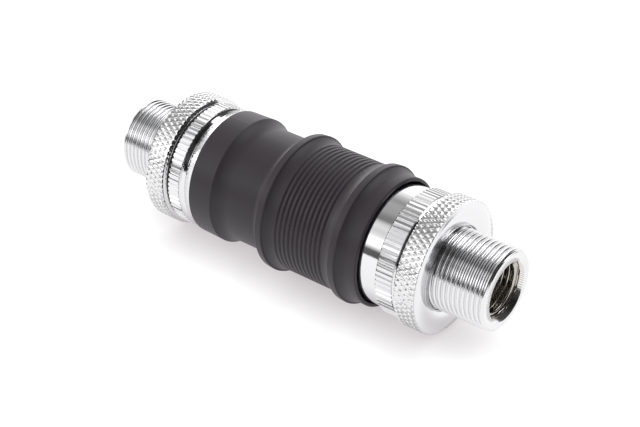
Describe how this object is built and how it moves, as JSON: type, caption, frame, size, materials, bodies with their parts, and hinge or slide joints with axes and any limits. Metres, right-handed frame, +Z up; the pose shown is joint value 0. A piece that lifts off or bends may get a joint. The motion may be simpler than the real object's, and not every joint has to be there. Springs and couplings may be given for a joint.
{
  "type": "liquid cooling quick coupling",
  "caption": "Ball-lock quick coupling, joined: valved socket with sliding release sleeve, plug, knurled panel nuts and a threaded port at each end.",
  "frame": {"origin": "on the axis at the open end of the socket's panel thread", "axes": "+X along the coupling from the socket's port to the plug's port, +Z up, lying as in the picture"},
  "size_m": [0.0987, 0.0316, 0.0316],
  "materials": {
    "bright_metal": "polished bright plating over brass",
    "black_anodised": "matte black anodised",
    "black_rubber": "smooth seal rubber",
    "spring_steel": "drawn wire",
    "ball_steel": "polished",
    "white_plastic": "natural acetal",
    "plain_brass": "turned"
  },
  "bodies": {
    "socket": {"socket_tail": "bright_metal", "socket_tail_seal": "black_rubber", "socket_body": "bright_metal", "socket_shell": "black_anodised", "sleeve_snap_ring": "spring_steel", "socket_nose_seal": "black_rubber", "socket_valve_guide": "white_plastic", "socket_valve_spring": "spring_steel", "sleeve_spring": "spring_steel"},
    "socket_seal": {"socket_panel_seal": "black_rubber"},
    "socket_nut": {"socket_lock_nut": "bright_metal"},
    "sleeve": {"release_sleeve": "black_anodised"},
    "socket_valve": {"socket_poppet": "plain_brass", "socket_poppet_seal": "black_rubber"},
    "plug": {"plug_body": "bright_metal", "plug_tail": "bright_metal", "plug_tail_seal": "black_rubber", "plug_valve_guide": "white_plastic", "plug_valve_spring": "spring_steel"},
    "plug_seal": {"plug_panel_seal": "black_rubber"},
    "plug_nut": {"plug_lock_nut": "bright_metal"},
    "plug_valve": {"plug_poppet": "plain_brass", "plug_poppet_seal": "black_rubber"},
    "ball_1": {"lock_ball_1": "ball_steel"},
    "ball_2": {"lock_ball_2": "ball_steel"},
    "ball_3": {"lock_ball_3": "ball_steel"},
    "ball_4": {"lock_ball_4": "ball_steel"},
    "ball_5": {"lock_ball_5": "ball_steel"},
    "ball_6": {"lock_ball_6": "ball_steel"},
    "ball_7": {"lock_ball_7": "ball_steel"},
    "ball_8": {"lock_ball_8": "ball_steel"}
  },
  "joints": [
    {"name": "sleeve_slide", "type": "slide", "parent": "socket", "child": "sleeve", "axis": [-1, 0, 0], "range_m": [0, 0.0034], "stiffness_N_per_m": 2200, "springref_m": -0.0045, "deforming": ["sleeve_spring"]},
    {"name": "plug_swivel", "type": "hinge", "parent": "socket", "child": "plug", "pos_m": [0.06255, 0, 0], "axis": [1, 0, 0], "continuous": true},
    {"name": "socket_nut_turn", "type": "hinge", "parent": "socket", "child": "socket_seal", "pos_m": [0.0183, 0, 0], "axis": [-1, 0, 0], "range_deg": [0, 3757]},
    {"name": "socket_nut_travel", "type": "slide", "parent": "socket_seal", "child": "socket_nut", "axis": [-1, 0, 0], "range_m": [0, 0.012]},
    {"name": "plug_nut_turn", "type": "hinge", "parent": "plug", "child": "plug_seal", "pos_m": [0.0804, 0, 0], "axis": [1, 0, 0], "range_deg": [0, 3757]},
    {"name": "plug_nut_travel", "type": "slide", "parent": "plug_seal", "child": "plug_nut", "axis": [1, 0, 0], "range_m": [0, 0.012]},
    {"name": "socket_valve_lift", "type": "slide", "parent": "socket", "child": "socket_valve", "axis": [-1, 0, 0], "range_m": [0, 0.001], "stiffness_N_per_m": 900, "springref_m": -0.006, "deforming": ["socket_valve_spring"]},
    {"name": "plug_valve_lift", "type": "slide", "parent": "plug", "child": "plug_valve", "axis": [1, 0, 0], "range_m": [0, 0.001], "stiffness_N_per_m": 900, "springref_m": -0.006, "deforming": ["plug_valve_spring"]},
    {"name": "ball_1_lift", "type": "slide", "parent": "socket", "child": "ball_1", "axis": [0, 0, 1], "range_m": [0, 0.000901]},
    {"name": "ball_2_lift", "type": "slide", "parent": "socket", "child": "ball_2", "axis": [0, 0.7071, 0.7071], "range_m": [0, 0.000901]},
    {"name": "ball_3_lift", "type": "slide", "parent": "socket", "child": "ball_3", "axis": [0, 1, 0], "range_m": [0, 0.000901]},
    {"name": "ball_4_lift", "type": "slide", "parent": "socket", "child": "ball_4", "axis": [0, 0.7071, -0.7071], "range_m": [0, 0.000901]},
    {"name": "ball_5_lift", "type": "slide", "parent": "socket", "child": "ball_5", "axis": [0, 0, -1], "range_m": [0, 0.000901]},
    {"name": "ball_6_lift", "type": "slide", "parent": "socket", "child": "ball_6", "axis": [0, -0.7071, -0.7071], "range_m": [0, 0.000901]},
    {"name": "ball_7_lift", "type": "slide", "parent": "socket", "child": "ball_7", "axis": [0, -1, 0], "range_m": [0, 0.000901]},
    {"name": "ball_8_lift", "type": "slide", "parent": "socket", "child": "ball_8", "axis": [0, -0.7071, 0.7071], "range_m": [0, 0.000901]}
  ],
  "couplings": [
    {"joint": "socket_nut_turn", "follows": "socket_nut_travel", "rad_per_m": 5463.6},
    {"joint": "plug_nut_turn", "follows": "plug_nut_travel", "rad_per_m": 5463.6},
    {"joint": "ball_1_lift", "follows": "sleeve_slide", "ratio": 0.26471},
    {"joint": "ball_2_lift", "follows": "sleeve_slide", "ratio": 0.26471},
    {"joint": "ball_3_lift", "follows": "sleeve_slide", "ratio": 0.26471},
    {"joint": "ball_4_lift", "follows": "sleeve_slide", "ratio": 0.26471},
    {"joint": "ball_5_lift", "follows": "sleeve_slide", "ratio": 0.26471},
    {"joint": "ball_6_lift", "follows": "sleeve_slide", "ratio": 0.26471},
    {"joint": "ball_7_lift", "follows": "sleeve_slide", "ratio": 0.26471},
    {"joint": "ball_8_lift", "follows": "sleeve_slide", "ratio": 0.26471}
  ]
}
